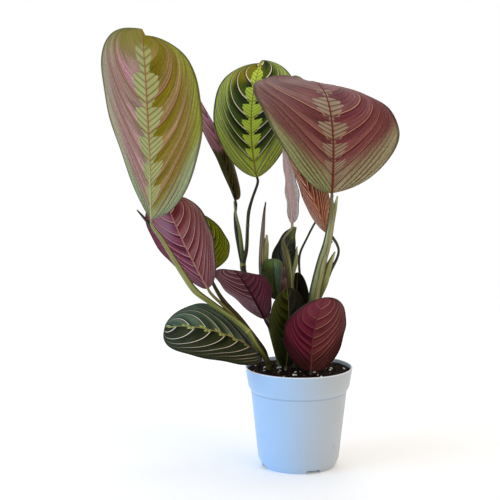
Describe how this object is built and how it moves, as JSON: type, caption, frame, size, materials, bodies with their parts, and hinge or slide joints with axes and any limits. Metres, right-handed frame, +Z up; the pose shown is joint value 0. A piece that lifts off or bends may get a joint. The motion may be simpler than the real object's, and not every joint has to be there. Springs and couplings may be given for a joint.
{
  "type": "potted prayer plant maranta",
  "caption": "Prayer plant with boldly veined oval leaves, red-purple beneath, on jointed stalks, in soil in a small white plastic nursery pot with a flat base.",
  "frame": {"origin": "middle of the pot's flat base, on the surface it stands on", "axes": "+Z up along the pot's axis, -Y towards the viewer of the picture, +X to the viewer's right"},
  "size_m": [0.2365, 0.1483, 0.3598],
  "materials": {
    "pot_plastic": "smooth moulded white plastic with a soft gloss",
    "soil": "damp dark potting mix with pale grit",
    "stem": "smooth green and brown living stalks",
    "young_sheath": "smooth young leaf still rolled in its sheath",
    "leaf_upper": "satin leaf, bright feathered middle and raised veins",
    "leaf_dark_upper": "satin dark green leaf with pale raised veins",
    "leaf_red_under": "matt wine-red leaf underside with paler fingers",
    "leaf_pale_under": "thin backlit leaf underside, olive and mauve"
  },
  "bodies": {
    "root": {"pot": "pot_plastic", "soil": "soil", "shoot_left": "stem", "shoot_back": "stem", "shoot_centre": "stem", "shoot_right": "stem", "spear": "young_sheath", "stalk_front": "stem", "stalk_dark": "stem", "leaf_tall_left": "leaf_pale_under", "leaf_back_centre": "leaf_upper", "leaf_broad_right": "leaf_red_under", "leaf_left_hanging": "leaf_red_under", "leaf_left_behind": "leaf_upper", "leaf_low_left": "leaf_dark_upper", "leaf_centre_small": "leaf_red_under", "leaf_front_low": "leaf_red_under", "leaf_soil_dark": "leaf_dark_upper", "leaf_centre_dark": "leaf_dark_upper", "leaf_pale_narrow": "leaf_pale_under", "leaf_red_folded": "leaf_red_under", "leaf_rolled_back": "leaf_dark_upper", "leaf_behind_right": "leaf_upper", "leaf_young_green": "leaf_upper", "leaf_centre_low": "leaf_dark_upper"}
  },
  "joints": []
}
